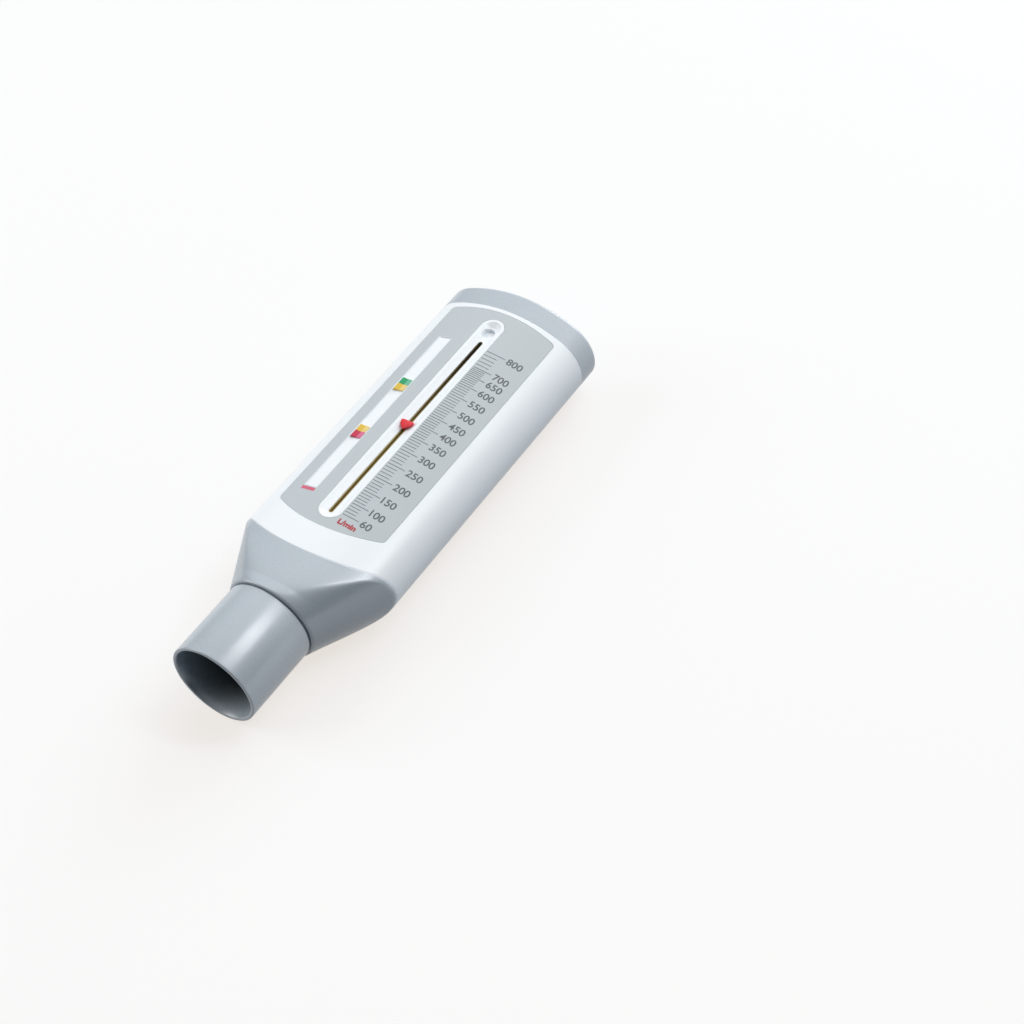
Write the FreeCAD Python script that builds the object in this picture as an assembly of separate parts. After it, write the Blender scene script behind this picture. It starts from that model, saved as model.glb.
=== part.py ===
"""Hand-held peak flow meter, modelled lying on its back.

Each piece is drawn in bench coordinates: X runs from the rim of the mouthpiece
towards the end cap, and the flow axis is Y = 0, Z = 0. The scale faces up (+Z).
On export every piece moves into the part's own frame, whose origin is the centre
of the footprint, on the surface that the meter lies on. Lengths are millimetres.
"""
import FreeCAD
import Part
import math
import os

from FreeCAD import Vector

# Casing, measured across and along
BODY_WIDTH = 56.7          # across the oval
FRONT_RISE = 14.7          # flow axis to the crest of the scale face
BACK_DROP = 16.35          # flow axis to the crest that the back would have without its land
LAND_CUT = 0.7             # taken off that crest, so that the back has a level land to lie on
SIDE_RADIUS = 11.6         # rounding of both sides of the oval
WALL = 2.2                 # wall of the sleeve
SLEEVE_LENGTH = 106.0      # from joint to joint, at the sides
INLET_BULGE = 8.3          # how far the inlet joint bows towards the mouth
CAP_BULGE = 2.0            # how far the cap joint bows towards the cap
CAP_LENGTH = 8.8
CAP_WALL = 1.9
END_ROUNDING = 1.2         # outer edge of the end cap
PLUG_ROOT = 3.0            # how far a plug's thick root runs back from its joint

# Inlet
MOUTHPIECE_RADIUS = 15.0
MOUTHPIECE_REACH = 28.0    # rim to shoulder
MOUTHPIECE_BORE = 13.2     # radius
RIM_BORE = 13.9            # radius at the rim, where the bore flares
RIM_FLARE_LENGTH = 2.5
SPIGOT_RADIUS = 14.0
SPIGOT_LENGTH = 12.0
SHADOW_GAP = 0.5           # open line between the mouthpiece shoulder and the collar
COLLAR_RADIUS = 15.6
ADAPTER_LENGTH = 26.7      # collar face to the inlet joint, at the sides
ADAPTER_WALL = 1.8
SHOULDER_BACK = 1.2        # the taper reaches full width this far before the joint
COLLAR_CREST = 0.05        # the crowned face starts this far above the collar
TAPER_HALF_HEIGHT = 23.0   # half height that the taper would reach at full width
ADAPTER_RIB = 1.4
FUNNEL_WALL = 1.3

# Joints of the casing
JOINT_PLUG_LENGTH = 5.0    # how far a plug reaches into the sleeve
PLUG_WALL = 1.4
FIT_CLEARANCE = 0.1        # pieces that are pushed together
RUNNING_CLEARANCE = 0.06   # radial, on the rod and in the collar

# Measuring barrel and what is in it
BARREL_RADIUS = 10.2
BARREL_BORE = 9.1
BARREL_SLOT_WIDTH = 2.6
SOCKET_WALL = 1.0
SOCKET_DEPTH = 3.6
BARREL_SETBACK = 2.2       # inlet joint, at the sides, to the mouth end of the barrel
SEAL_THICKNESS = 0.8
SPIDER_DEPTH = 2.4
SPIDER_SEAT = 0.5          # step in the barrel's bore that the spider sits in
SPIDER_RIM = 0.8
SPIDER_SPOKE = 1.2
SPIDER_COUNT = 3
HUB_RADIUS = 2.9
ROD_RADIUS = 1.5
ROD_HEAD_RADIUS = 2.5
ROD_HEAD_LENGTH = 1.0
ROD_TAIL = 2.6             # rod beyond the rear spider
NUT_RADIUS = 2.8
NUT_LENGTH = 1.4
PORT_RADIUS = 1.5          # graduated outlet ports
PORT_PITCH = 8.0
PORT_HEIGHT = 4.2          # port centres above the flow axis
PORT_COUNT = 9
PORT_FROM_START = 22.0
BUFFER_RADIUS = 3.2
REST_BUFFER_LENGTH = 1.5
END_BUFFER_LENGTH = 7.5

# Piston and spring
PISTON_SKIRT = 4.0
PISTON_CLEARANCE = 0.08    # radial, in the barrel
PISTON_WEB = 1.1
PISTON_SKIRT_WALL = 0.8
PISTON_NOSE = 4.4          # hub beyond the web, which centres the spring
PISTON_HUB_WALL = 0.85
PISTON_RIB = 0.8
PISTON_RIB_COUNT = 6
BUSH_WALL = 0.7
SPRING_WIRE = 0.25         # radius
SPRING_RADIUS = 3.9        # mean
SPRING_TURNS = 11
SPRING_CHORDS = 12         # straight chords in a turn
SPRING_WIRE_SIDES = 8

# Scale face
PLATE_THICKNESS = 0.5
PLATE_HALF_WIDTH = 20.05
PLATE_CENTRE = 0.3         # beside the flow axis, towards the zone markers
PLATE_FROM_INLET = 7.9     # from the inlet joint, at the sides of the plate
PLATE_FROM_CAP = 1.7
PLATE_INLET_BULGE = 5.7
PLATE_CAP_BULGE = 2.1
PLATE_CORNER = 1.7
PLATE_CLEARANCE = 0.08

# Slot channel for the pointer
CHANNEL_CENTRE = 0.9       # beside the flow axis
CHANNEL_WIDTH = 8.6
CHANNEL_DEPTH = 1.0
CHANNEL_FROM_INLET = 5.4
CHANNEL_FROM_CAP = 3.0
CHANNEL_LAND = 0.45        # level margin beside the dished part
SLOT_WIDTH = 1.6
SLOT_FROM_INLET = 8.4
SLOT_FROM_CAP = 13.3
LIP_THICKNESS = 2.0
LIP_HALF_WIDTH = 1.2       # level floor on each side of the slot's centre
POCKET_GAP = 1.3           # from the end of the slot
POCKET_LENGTH = 5.2
POCKET_WIDTH = 4.2
POCKET_DEPTH = 1.2         # below the channel's floor
SLOT_PAD_WIDTH = 13.0
LINER_WALL = 0.4           # strip that lines the slot
LINER_CLEARANCE = 0.02
LINER_DROP = 0.1           # top of the strip, below the channel's floor
LINER_FLANGE = 1.4         # reach of its flange beside the slot, let into the pad from below
LINER_FLANGE_DEPTH = 0.4

# Pointer
POINTER_FROM_SLOT = 41.35  # where it stands at rest, from the start of the slot
POINTER_NECK_LENGTH = 3.0
POINTER_NECK_WIDTH = 0.56
POINTER_HEAD_WIDTH = 5.8
POINTER_HEAD_LENGTH = 4.0
POINTER_NOTCH = 0.35       # hollow in the arrowhead's base
POINTER_CORNER = 0.5
POINTER_PROUD = 0.45       # above the crest of the scale face
POINTER_FLOAT = 0.2        # above the dished floor
SHOE_LENGTH = 7.0
SHOE_WIDTH = 4.2
SHOE_THICKNESS = 0.85
LEG_WIDTH = 1.6
LEG_REACH = 1.5            # how far the leg stands into the bore
LEAF_THICKNESS = 0.12
LEAF_WIDTH = 2.6

# Zone markers
MARKER_CENTRE = 13.0       # beside the flow axis, along the face
GROOVE_WIDTH = 4.6         # opening in the plate
GROOVE_UNDERCUT = 0.7      # wider below the plate, on each side
GROOVE_DEPTH = 0.45        # below the plate
RAIL_WIDTH = 3.3           # top of the rail along the groove's floor
RAIL_FLANK = 0.25          # wider at its foot, on each side
RAIL_DROP = 0.18           # top of the rail, below the face
GROOVE_FROM_INLET = 14.8
GROOVE_FROM_CAP = 16.6
MARKER_HALF_LENGTH = 2.8
MARKER_PROUD = 0.2
MARKER_RIDGE = 0.5         # height of the push ridge along the outer half of its top
MARKER_CREST = 0.65        # crest of the ridge, in from its outer foot
MARKER_CLEARANCE = 0.1
MARKER_FOOT = 0.25
MARKER_EDGE = 0.2
MARKER_PAD = 0.9           # thickening of the sleeve under the groove
UPPER_MARKER_FROM_GROOVE = 49.85
LOWER_MARKER_FROM_GROOVE = 26.25

# Ribs in the sleeve and vents in the cap
RIB_THICKNESS = 1.4
VENT_WIDTH = 1.8
VENT_PITCH = 4.0
VENT_COUNT = 9
VENT_HEIGHT = 15.0

# Places along X, from the rim of the mouthpiece
COLLAR_X = MOUTHPIECE_REACH + SHADOW_GAP
SOCKET_END = MOUTHPIECE_REACH + SPIGOT_LENGTH
INLET_X = COLLAR_X + ADAPTER_LENGTH
CAP_X = INLET_X + SLEEVE_LENGTH
END_X = CAP_X + CAP_LENGTH
OVERALL_LENGTH = END_X + CAP_BULGE
BARREL_START = INLET_X - BARREL_SETBACK
BARREL_END = CAP_X - BARREL_SETBACK
FUNNEL_END = BARREL_START - SEAL_THICKNESS
SLOT_START = INLET_X + SLOT_FROM_INLET
SLOT_END = CAP_X - SLOT_FROM_CAP
CHANNEL_START = INLET_X + CHANNEL_FROM_INLET
CHANNEL_END = CAP_X - CHANNEL_FROM_CAP
GROOVE_START = INLET_X + GROOVE_FROM_INLET
GROOVE_END = CAP_X - GROOVE_FROM_CAP
POINTER_X = SLOT_START + POINTER_FROM_SLOT
UPPER_MARKER_X = GROOVE_START + UPPER_MARKER_FROM_GROOVE
LOWER_MARKER_X = GROOVE_START + LOWER_MARKER_FROM_GROOVE
FRONT_SPIDER_END = BARREL_START + SPIDER_DEPTH
REAR_SPIDER_START = BARREL_END - SPIDER_DEPTH
PISTON_BACK = FRONT_SPIDER_END + REST_BUFFER_LENGTH
PISTON_FACE = PISTON_BACK + PISTON_SKIRT
PISTON_TIP = PISTON_FACE + PISTON_NOSE

# Heights and half widths that several pieces share
HALF_WIDTH = BODY_WIDTH / 2
SIDE_Y = HALF_WIDTH - SIDE_RADIUS
REST_DROP = BACK_DROP - LAND_CUT
CHANNEL_FLOOR = FRONT_RISE - CHANNEL_DEPTH
PAD_UNDERSIDE = CHANNEL_FLOOR - LIP_THICKNESS
POCKET_START = SLOT_END + POCKET_GAP
LINER_TOP = CHANNEL_FLOOR - LINER_DROP
PLATE_UNDERSIDE = FRONT_RISE - PLATE_THICKNESS
GROOVE_FLOOR = PLATE_UNDERSIDE - GROOVE_DEPTH
SOCKET_RADIUS = BARREL_RADIUS + FIT_CLEARANCE
SHOE_BOTTOM = SOCKET_RADIUS
SHOE_TOP = SHOE_BOTTOM + SHOE_THICKNESS
SPIDER_RADIUS = BARREL_BORE + SPIDER_SEAT
PLUG_INSET = WALL + FIT_CLEARANCE
PLUG_INNER = PLUG_INSET + PLUG_WALL
ALONG = Vector(1, 0, 0)
UP = Vector(0, 0, 1)
SPARE = 2.0                # how far a cutting tool runs past what it cuts
FAR = 40.0                 # beyond the casing in any direction across it
EVEN = 0.01                # two places closer than this count as one


def crest_radius(height):
    """Radius of the arc that crowns the oval at this height and meets both sides smoothly."""
    return (SIDE_Y ** 2 + height ** 2 - SIDE_RADIUS ** 2) / (2 * (height - SIDE_RADIUS))


FRONT_RADIUS = crest_radius(FRONT_RISE)


def oval_wire(x, inset=0.0, rise=FRONT_RISE):
    """Section of the casing: crowned front, round sides, crowned back with a level land."""
    side = SIDE_RADIUS - inset
    front = crest_radius(rise)
    front_z = rise - front
    back = crest_radius(BACK_DROP)
    back_z = back - BACK_DROP
    land_z = inset - REST_DROP
    front_turn = math.atan2(SIDE_Y, -front_z)
    back_turn = math.atan2(SIDE_Y, back_z)
    land_turn = math.acos((back_z - land_z) / (back - inset))

    def on_front(turn):
        reach = front - inset
        return Vector(x, reach * math.sin(turn), front_z + reach * math.cos(turn))

    def on_back(turn):
        reach = back - inset
        return Vector(x, reach * math.sin(turn), back_z - reach * math.cos(turn))

    def flip(point):
        return Vector(point.x, -point.y, point.z)

    widest = Vector(x, SIDE_Y + side, 0)
    front_end = on_front(front_turn)
    back_end = on_back(back_turn)
    land_end = on_back(land_turn)
    back_mid = on_back((back_turn + land_turn) / 2)
    edges = [
        Part.Arc(flip(front_end), on_front(0), front_end),
        Part.Arc(front_end, widest, back_end),
        Part.Arc(back_end, back_mid, land_end),
        Part.LineSegment(land_end, flip(land_end)),
        Part.Arc(flip(land_end), flip(back_mid), flip(back_end)),
        Part.Arc(flip(back_end), flip(widest), flip(front_end)),
    ]
    return Part.Wire([edge.toShape() for edge in edges])


def oval_prism(start, end, inset=0.0):
    """The casing's section drawn out along X."""
    return Part.Face(oval_wire(start, inset)).extrude(ALONG * (end - start))


def beyond(x, bow, half_width=HALF_WIDTH, centre=0.0):
    """Everything on the cap side of an upright wall that bows by this much towards the cap.

    The wall is an arc in plan, and passes x at half_width on each side of its centre.
    """
    radius = (half_width ** 2 + bow ** 2) / (2 * abs(bow))
    reach = half_width + SPARE
    drop = math.copysign(radius - math.sqrt(radius ** 2 - reach ** 2), bow)
    middle = Vector(x + bow, centre, -FAR)
    left = Vector(middle.x - drop, centre - reach, -FAR)
    right = Vector(middle.x - drop, centre + reach, -FAR)
    past = ALONG * (OVERALL_LENGTH + FAR)
    wire = Part.Wire([
        Part.Arc(left, middle, right).toShape(),
        Part.LineSegment(right, right + past).toShape(),
        Part.LineSegment(right + past, left + past).toShape(),
        Part.LineSegment(left + past, left).toShape(),
    ])
    return Part.Face(wire).extrude(UP * (2 * FAR))


def bar(start, end, radius):
    """Round bar on the flow axis."""
    return Part.makeCylinder(radius, end - start, Vector(start, 0, 0), ALONG)


def tube(start, end, bore, radius):
    return bar(start, end, radius).cut(bar(start - SPARE, end + SPARE, bore))


def block(x0, x1, y0, y1, z0, z1):
    return Part.makeBox(x1 - x0, y1 - y0, z1 - z0, Vector(x0, y0, z0))


def turned(profile):
    """Solid of revolution about the flow axis, from (x, radius) points."""
    points = [Vector(x, 0, radius) for x, radius in profile]
    return Part.Face(Part.makePolygon(points + points[:1])).revolve(Vector(), ALONG, 360)


def stadium_wire(start, end, width, centre, z):
    """Outline in plan of a bar with round ends."""
    radius = width / 2
    first, last = start + radius, end - radius
    near, far = centre - radius, centre + radius
    return Part.Wire([
        Part.LineSegment(Vector(first, near, z), Vector(last, near, z)).toShape(),
        Part.Arc(Vector(last, near, z), Vector(end, centre, z), Vector(last, far, z)).toShape(),
        Part.LineSegment(Vector(last, far, z), Vector(first, far, z)).toShape(),
        Part.Arc(Vector(first, far, z), Vector(start, centre, z), Vector(first, near, z)).toShape(),
    ])


def stadium(start, end, width, centre, low, high):
    return Part.Face(stadium_wire(start, end, width, centre, low)).extrude(UP * (high - low))


def spread_round(shape, count, first=0.0):
    """Copies of a shape, turned evenly about the flow axis."""
    copies = []
    for n in range(count):
        copy = shape.copy()
        copy.rotate(Vector(), ALONG, first + n * 360 / count)
        copies.append(copy)
    return copies


def on_marker_line(shape):
    """Turn a shape drawn at the crest down the crowned face, to the line of the zone markers."""
    turn = math.degrees(math.asin(MARKER_CENTRE / FRONT_RADIUS))
    shape = shape.copy()
    shape.rotate(Vector(0, 0, FRONT_RISE - FRONT_RADIUS), ALONG, -turn)
    return shape


def edges_near(shape, test):
    """Edges whose middle passes a test."""
    return [edge for edge in shape.Edges if test(edge.valueAt(sum(edge.ParameterRange) / 2), edge)]


def is_upright(middle, edge):
    """Test for edges_near: a straight edge along Z."""
    ends = [vertex.Point for vertex in edge.Vertexes]
    return len(ends) == 2 and math.hypot(ends[0].x - ends[1].x, ends[0].y - ends[1].y) < EVEN


def mouthpiece():
    """Plain tube whose stepped-down end pushes into the adapter's collar."""
    lip = (MOUTHPIECE_RADIUS - RIM_BORE) / 3
    return turned([
        (lip, RIM_BORE), (0, RIM_BORE + lip), (0, MOUTHPIECE_RADIUS - lip), (lip, MOUTHPIECE_RADIUS),
        (MOUTHPIECE_REACH, MOUTHPIECE_RADIUS), (MOUTHPIECE_REACH, SPIGOT_RADIUS),
        (SOCKET_END - lip, SPIGOT_RADIUS), (SOCKET_END, SPIGOT_RADIUS - lip),
        (SOCKET_END, MOUTHPIECE_BORE), (RIM_FLARE_LENGTH, MOUTHPIECE_BORE),
    ])


def taper(inset=0.0):
    """Cone that grows from the round collar into an ellipse, wider than the sleeve at its end."""
    run = ADAPTER_LENGTH - SHOULDER_BACK
    reach = ADAPTER_LENGTH + SPARE
    sections = []
    for x, share in ((COLLAR_X, 0.0), (COLLAR_X + reach, reach / run)):
        half_wide = COLLAR_RADIUS + share * (HALF_WIDTH - COLLAR_RADIUS) - inset
        half_high = COLLAR_RADIUS + share * (TAPER_HALF_HEIGHT - COLLAR_RADIUS) - inset
        place = FreeCAD.Matrix()
        place.scale(1, half_wide, half_high)
        place.move(Vector(x, 0, 0))
        unit = Part.Wire([Part.Circle(Vector(), ALONG, 1).toShape()])
        sections.append(unit.transformGeometry(place))
    return Part.makeLoft(sections, True, True)


def crown(inset=0.0):
    """Oval casing whose front rises a little towards the mouth, to clear the round collar."""
    middle = INLET_X - INLET_BULGE
    rise = COLLAR_RADIUS + COLLAR_CREST
    front = [oval_wire(COLLAR_X, inset, rise), oval_wire(middle, inset)]
    return Part.makeLoft(front, True, True).fuse(oval_prism(middle, INLET_X + FAR, inset))


def plug(joint, bow, root, tip):
    """Oval ring that reaches out of a moulding, past its bowed joint, into the sleeve's end."""
    low, high = min(root, tip), max(root, tip)
    ends = (joint - FAR, joint + FAR)
    wall = oval_prism(*ends, PLUG_INSET).cut(oval_prism(ends[0] - SPARE, ends[1] + SPARE, PLUG_INNER))
    return wall.common(beyond(joint + low, bow)).cut(beyond(joint + high, bow))


def inlet_adapter():
    """Moulding that leads from the round collar to the oval sleeve, with the air funnel inside."""
    outside = taper().common(crown())
    joint = beyond(INLET_X, -INLET_BULGE)
    root = beyond(INLET_X - PLUG_ROOT, -INLET_BULGE)
    hollow = taper(ADAPTER_WALL).common(crown(ADAPTER_WALL).cut(root).fuse(crown(PLUG_INNER)))
    socket_tip = BARREL_START + SOCKET_DEPTH
    socket_outer = SOCKET_RADIUS + SOCKET_WALL
    core = turned([
        (COLLAR_X, 0), (COLLAR_X, COLLAR_RADIUS), (SOCKET_END + FUNNEL_WALL, COLLAR_RADIUS),
        (SOCKET_END + FUNNEL_WALL, MOUTHPIECE_BORE + FUNNEL_WALL),
        (FUNNEL_END - FUNNEL_WALL, socket_outer), (socket_tip, socket_outer), (socket_tip, 0),
    ])
    collar_bore = SPIGOT_RADIUS + RUNNING_CLEARANCE
    passage = turned([
        (COLLAR_X - SPARE, 0), (COLLAR_X - SPARE, collar_bore), (SOCKET_END, collar_bore),
        (SOCKET_END, MOUTHPIECE_BORE), (FUNNEL_END, BARREL_BORE), (FUNNEL_END, SOCKET_RADIUS),
        (socket_tip + SPARE, SOCKET_RADIUS), (socket_tip + SPARE, 0),
    ])
    half_rib = ADAPTER_RIB / 2
    ribs = block(COLLAR_X, FUNNEL_END, -HALF_WIDTH, HALF_WIDTH, -half_rib, half_rib)
    ribs = ribs.fuse(block(COLLAR_X, FUNNEL_END, -half_rib, half_rib, -REST_DROP, FRONT_RISE))
    shell = outside.cut(joint).cut(hollow.cut(ribs))
    in_sleeve = oval_prism(SOCKET_END, INLET_X + FAR, PLUG_INSET)
    funnel = core.common(outside).cut(joint.cut(in_sleeve))
    sleeve_plug = plug(INLET_X, -INLET_BULGE, -PLUG_ROOT, JOINT_PLUG_LENGTH)
    return shell.fuse([sleeve_plug, funnel]).cut(passage).removeSplitter()


def plate_plan(grow=0.0):
    """Upright block with the plan of the scale plate, grown all round by a clearance."""
    half = PLATE_HALF_WIDTH + grow
    start = INLET_X + PLATE_FROM_INLET - grow
    end = CAP_X - PLATE_FROM_CAP + grow
    near, far = PLATE_CENTRE - half, PLATE_CENTRE + half
    plan = block(start - PLATE_INLET_BULGE - SPARE, end + PLATE_CAP_BULGE + SPARE, near, far, 0, FAR)
    plan = plan.common(beyond(start, -PLATE_INLET_BULGE, half, PLATE_CENTRE))
    plan = plan.cut(beyond(end, PLATE_CAP_BULGE, half, PLATE_CENTRE))
    return plan.makeFillet(PLATE_CORNER + grow, edges_near(plan, is_upright))


def channel_boss(shrink, low, high):
    """The raised white surround of the slot, which fills the plate's opening."""
    return stadium(CHANNEL_START + shrink, CHANNEL_END - shrink, CHANNEL_WIDTH - 2 * shrink,
                   CHANNEL_CENTRE, low, high)


def slot_stadium(inset, low, high):
    """Block with the slot's plan, drawn in by this much all round."""
    return stadium(SLOT_START + inset, SLOT_END - inset, SLOT_WIDTH - 2 * inset, CHANNEL_CENTRE, low, high)


def groove_block(width, low, high, end_gap=0.0):
    """Straight block along the zone markers' line."""
    return on_marker_line(block(GROOVE_START + end_gap, GROOVE_END - end_gap,
                                -width / 2, width / 2, low, high))


def groove_rail(grow, start, end):
    """Low rail along the groove, with sloping flanks, for the markers to ride on."""
    top = FRONT_RISE - RAIL_DROP + grow
    half_top = RAIL_WIDTH / 2 + grow
    half_foot = half_top + RAIL_FLANK
    corners = [Vector(start, -half_foot, GROOVE_FLOOR), Vector(start, half_foot, GROOVE_FLOOR),
               Vector(start, half_top, top), Vector(start, -half_top, top)]
    section = Part.Face(Part.makePolygon(corners + corners[:1]))
    return on_marker_line(section.extrude(ALONG * (end - start)))


def body_sleeve():
    """One-piece oval sleeve with the slot channel, the markers' groove and the barrel's ribs."""
    ends = (INLET_X - FAR, CAP_X + FAR)
    outside = oval_prism(*ends)
    inside = oval_prism(ends[0] - SPARE, ends[1] + SPARE, WALL)
    pad_start = BARREL_START + SOCKET_DEPTH + FIT_CLEARANCE
    pad_end = BARREL_END - SOCKET_DEPTH - FIT_CLEARANCE
    slot_pad = block(pad_start, pad_end, CHANNEL_CENTRE - SLOT_PAD_WIDTH / 2,
                     CHANNEL_CENTRE + SLOT_PAD_WIDTH / 2, PAD_UNDERSIDE, FRONT_RISE)
    marker_pad = groove_block(GROOVE_WIDTH + 2 * GROOVE_UNDERCUT + 2 * MARKER_PAD,
                              GROOVE_FLOOR - MARKER_PAD, FRONT_RISE)
    rib_start = INLET_X + JOINT_PLUG_LENGTH + SPARE
    rib_end = CAP_X - JOINT_PLUG_LENGTH - SPARE
    half_rib = RIB_THICKNESS / 2
    side_ribs = block(rib_start, rib_end, -HALF_WIDTH, HALF_WIDTH, -half_rib, half_rib)
    back_rib = block(rib_start, rib_end, -half_rib, half_rib, -REST_DROP, 0)
    ribs = side_ribs.fuse(back_rib).cut(bar(rib_start - SPARE, rib_end + SPARE, SOCKET_RADIUS))
    inside = inside.cut(slot_pad).cut(marker_pad).cut(ribs)
    sleeve = outside.cut(inside).common(beyond(INLET_X, -INLET_BULGE)).cut(beyond(CAP_X, CAP_BULGE))

    below_plate = oval_prism(*ends, PLATE_THICKNESS)
    recess = plate_plan(PLATE_CLEARANCE).cut(below_plate).cut(channel_boss(PLATE_CLEARANCE, 0, FAR))
    groove = groove_block(GROOVE_WIDTH + 2 * GROOVE_UNDERCUT, GROOVE_FLOOR, PLATE_UNDERSIDE + SPARE)
    rail = groove_rail(0, GROOVE_START + PLATE_CLEARANCE, GROOVE_END - PLATE_CLEARANCE)
    inner = CHANNEL_LAND
    top = FRONT_RISE + CHANNEL_LAND / 2
    dish = Part.makeLoft([
        stadium_wire(CHANNEL_START + inner, CHANNEL_END - inner, CHANNEL_WIDTH - 2 * inner,
                     CHANNEL_CENTRE, top),
        stadium_wire(SLOT_START - LIP_HALF_WIDTH, CHANNEL_END - CHANNEL_WIDTH / 2 + LIP_HALF_WIDTH,
                     2 * LIP_HALF_WIDTH, CHANNEL_CENTRE, CHANNEL_FLOOR),
    ], True, True)
    slot = slot_stadium(0, 0, FAR)
    rebate = slot_stadium(-LINER_FLANGE - LINER_CLEARANCE, 0, PAD_UNDERSIDE + LINER_FLANGE_DEPTH)
    pocket = stadium(POCKET_START, POCKET_START + POCKET_LENGTH, POCKET_WIDTH,
                     CHANNEL_CENTRE, CHANNEL_FLOOR - POCKET_DEPTH, FAR)
    return sleeve.cut([recess.cut(rail), groove.cut(rail), dish, slot, rebate, pocket]).removeSplitter()


def slot_liner():
    """Strip pushed into the slot from below. Its lips show along both sides of the slot."""
    web = slot_stadium(LINER_CLEARANCE, PAD_UNDERSIDE, LINER_TOP)
    flange = slot_stadium(-LINER_FLANGE, PAD_UNDERSIDE, PAD_UNDERSIDE + LINER_FLANGE_DEPTH)
    slit = slot_stadium(LINER_CLEARANCE + LINER_WALL, 0, FAR)
    return web.fuse(flange).cut(slit).removeSplitter()


def scale_plate():
    """Thin curved plate that carries the scale, with openings for the channel and the markers."""
    skin = oval_prism(INLET_X - FAR, CAP_X + FAR)
    skin = skin.cut(oval_prism(INLET_X - FAR - SPARE, CAP_X + FAR + SPARE, PLATE_THICKNESS))
    plate = skin.common(plate_plan())
    opening = groove_block(GROOVE_WIDTH, 0, FRONT_RISE + SPARE)
    return plate.cut([channel_boss(0, 0, FAR), opening])


def measuring_barrel():
    """Tube that the piston runs in, slotted for the pointer, with a row of ports on each side."""
    barrel = tube(BARREL_START, BARREL_END, BARREL_BORE, BARREL_RADIUS)
    seat_radius = SPIDER_RADIUS + FIT_CLEARANCE / 2
    cuts = [bar(BARREL_START - SPARE, FRONT_SPIDER_END, seat_radius),
            bar(REAR_SPIDER_START, BARREL_END + SPARE, seat_radius)]
    cuts.append(stadium(SLOT_START - SPARE, SLOT_END + SPARE, BARREL_SLOT_WIDTH, CHANNEL_CENTRE, 0, FAR))
    for n in range(PORT_COUNT):
        x = BARREL_START + PORT_FROM_START + n * PORT_PITCH
        cuts.append(Part.makeCylinder(PORT_RADIUS, 2 * FAR, Vector(x, -FAR, PORT_HEIGHT), Vector(0, 1, 0)))
    return barrel.cut(cuts)


def spider(start):
    """Ring, hub and spokes that hold one end of the guide rod in the barrel."""
    end = start + SPIDER_DEPTH
    rim = tube(start, end, SPIDER_RADIUS - SPIDER_RIM, SPIDER_RADIUS)
    hub = bar(start, end, HUB_RADIUS)
    half = SPIDER_SPOKE / 2
    spoke = block(start, end, -half, half, 0, SPIDER_RADIUS - SPIDER_RIM / 2)
    bore = bar(start - SPARE, end + SPARE, ROD_RADIUS)
    return rim.fuse([hub] + spread_round(spoke, SPIDER_COUNT, 180)).cut(bore).removeSplitter()


def barrel_seal():
    return tube(FUNNEL_END, BARREL_START, BARREL_BORE, BARREL_RADIUS)


def guide_rod():
    """Steel rod with a head that bears on the front spider."""
    rod = bar(BARREL_START, BARREL_END + ROD_TAIL, ROD_RADIUS)
    return rod.fuse(bar(BARREL_START - ROD_HEAD_LENGTH, BARREL_START, ROD_HEAD_RADIUS)).removeSplitter()


def rod_nut():
    """Hexagonal nut that draws the rod and both spiders together."""
    corners = [Vector(BARREL_END, NUT_RADIUS * math.cos(math.radians(60 * n)),
                      NUT_RADIUS * math.sin(math.radians(60 * n))) for n in range(7)]
    nut = Part.Face(Part.makePolygon(corners)).extrude(ALONG * NUT_LENGTH)
    return nut.cut(bar(BARREL_END - SPARE, BARREL_END + NUT_LENGTH + SPARE, ROD_RADIUS))


def buffer_ring(start, length):
    return tube(start, start + length, ROD_RADIUS + RUNNING_CLEARANCE, BUFFER_RADIUS)


def piston():
    """Thin-walled moulding: skirt, web, ribs and a hub whose nose centres the spring."""
    outer = BARREL_BORE - PISTON_CLEARANCE
    bush = ROD_RADIUS + RUNNING_CLEARANCE + BUSH_WALL
    hub = bush + PISTON_HUB_WALL
    web_back = PISTON_FACE - PISTON_WEB
    inner = outer - PISTON_SKIRT_WALL
    form = turned([
        (PISTON_BACK, bush), (PISTON_TIP, bush), (PISTON_TIP, hub), (PISTON_FACE, hub),
        (PISTON_FACE, outer), (PISTON_BACK, outer), (PISTON_BACK, inner), (web_back, inner),
        (web_back, hub), (PISTON_BACK, hub),
    ])
    half = PISTON_RIB / 2
    rib = block(PISTON_BACK + PISTON_RIB, web_back, -half, half, hub - half, inner + half)
    return form.fuse(spread_round(rib, PISTON_RIB_COUNT)).removeSplitter()


def piston_bush():
    bore = ROD_RADIUS + RUNNING_CLEARANCE
    return tube(PISTON_BACK, PISTON_TIP, bore, bore + BUSH_WALL)


def return_spring():
    """Light compression spring between the piston's web and the rear spider.

    The coil runs in short chords, so that it stays light to draw.
    """
    start = PISTON_FACE + SPRING_WIRE
    length = REAR_SPIDER_START - SPRING_WIRE - start
    count = SPRING_TURNS * SPRING_CHORDS

    def on_coil(n):
        turn = 2 * math.pi * n / SPRING_CHORDS
        return Vector(start + length * n / count,
                      SPRING_RADIUS * math.cos(turn), SPRING_RADIUS * math.sin(turn))

    path = Part.makePolygon([on_coil(n) for n in range(count + 1)])
    way = (on_coil(1) - on_coil(0)).normalize()
    out = Vector(0, 1, 0) - way * way.y
    out.normalize()
    side = way.cross(out)
    corners = []
    for n in range(SPRING_WIRE_SIDES + 1):
        turn = 2 * math.pi * n / SPRING_WIRE_SIDES
        corners.append(on_coil(0) + (out * math.cos(turn) + side * math.sin(turn)) * SPRING_WIRE)
    mitred = 1
    return path.makePipeShell([Part.makePolygon(corners)], True, False, mitred)


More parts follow.
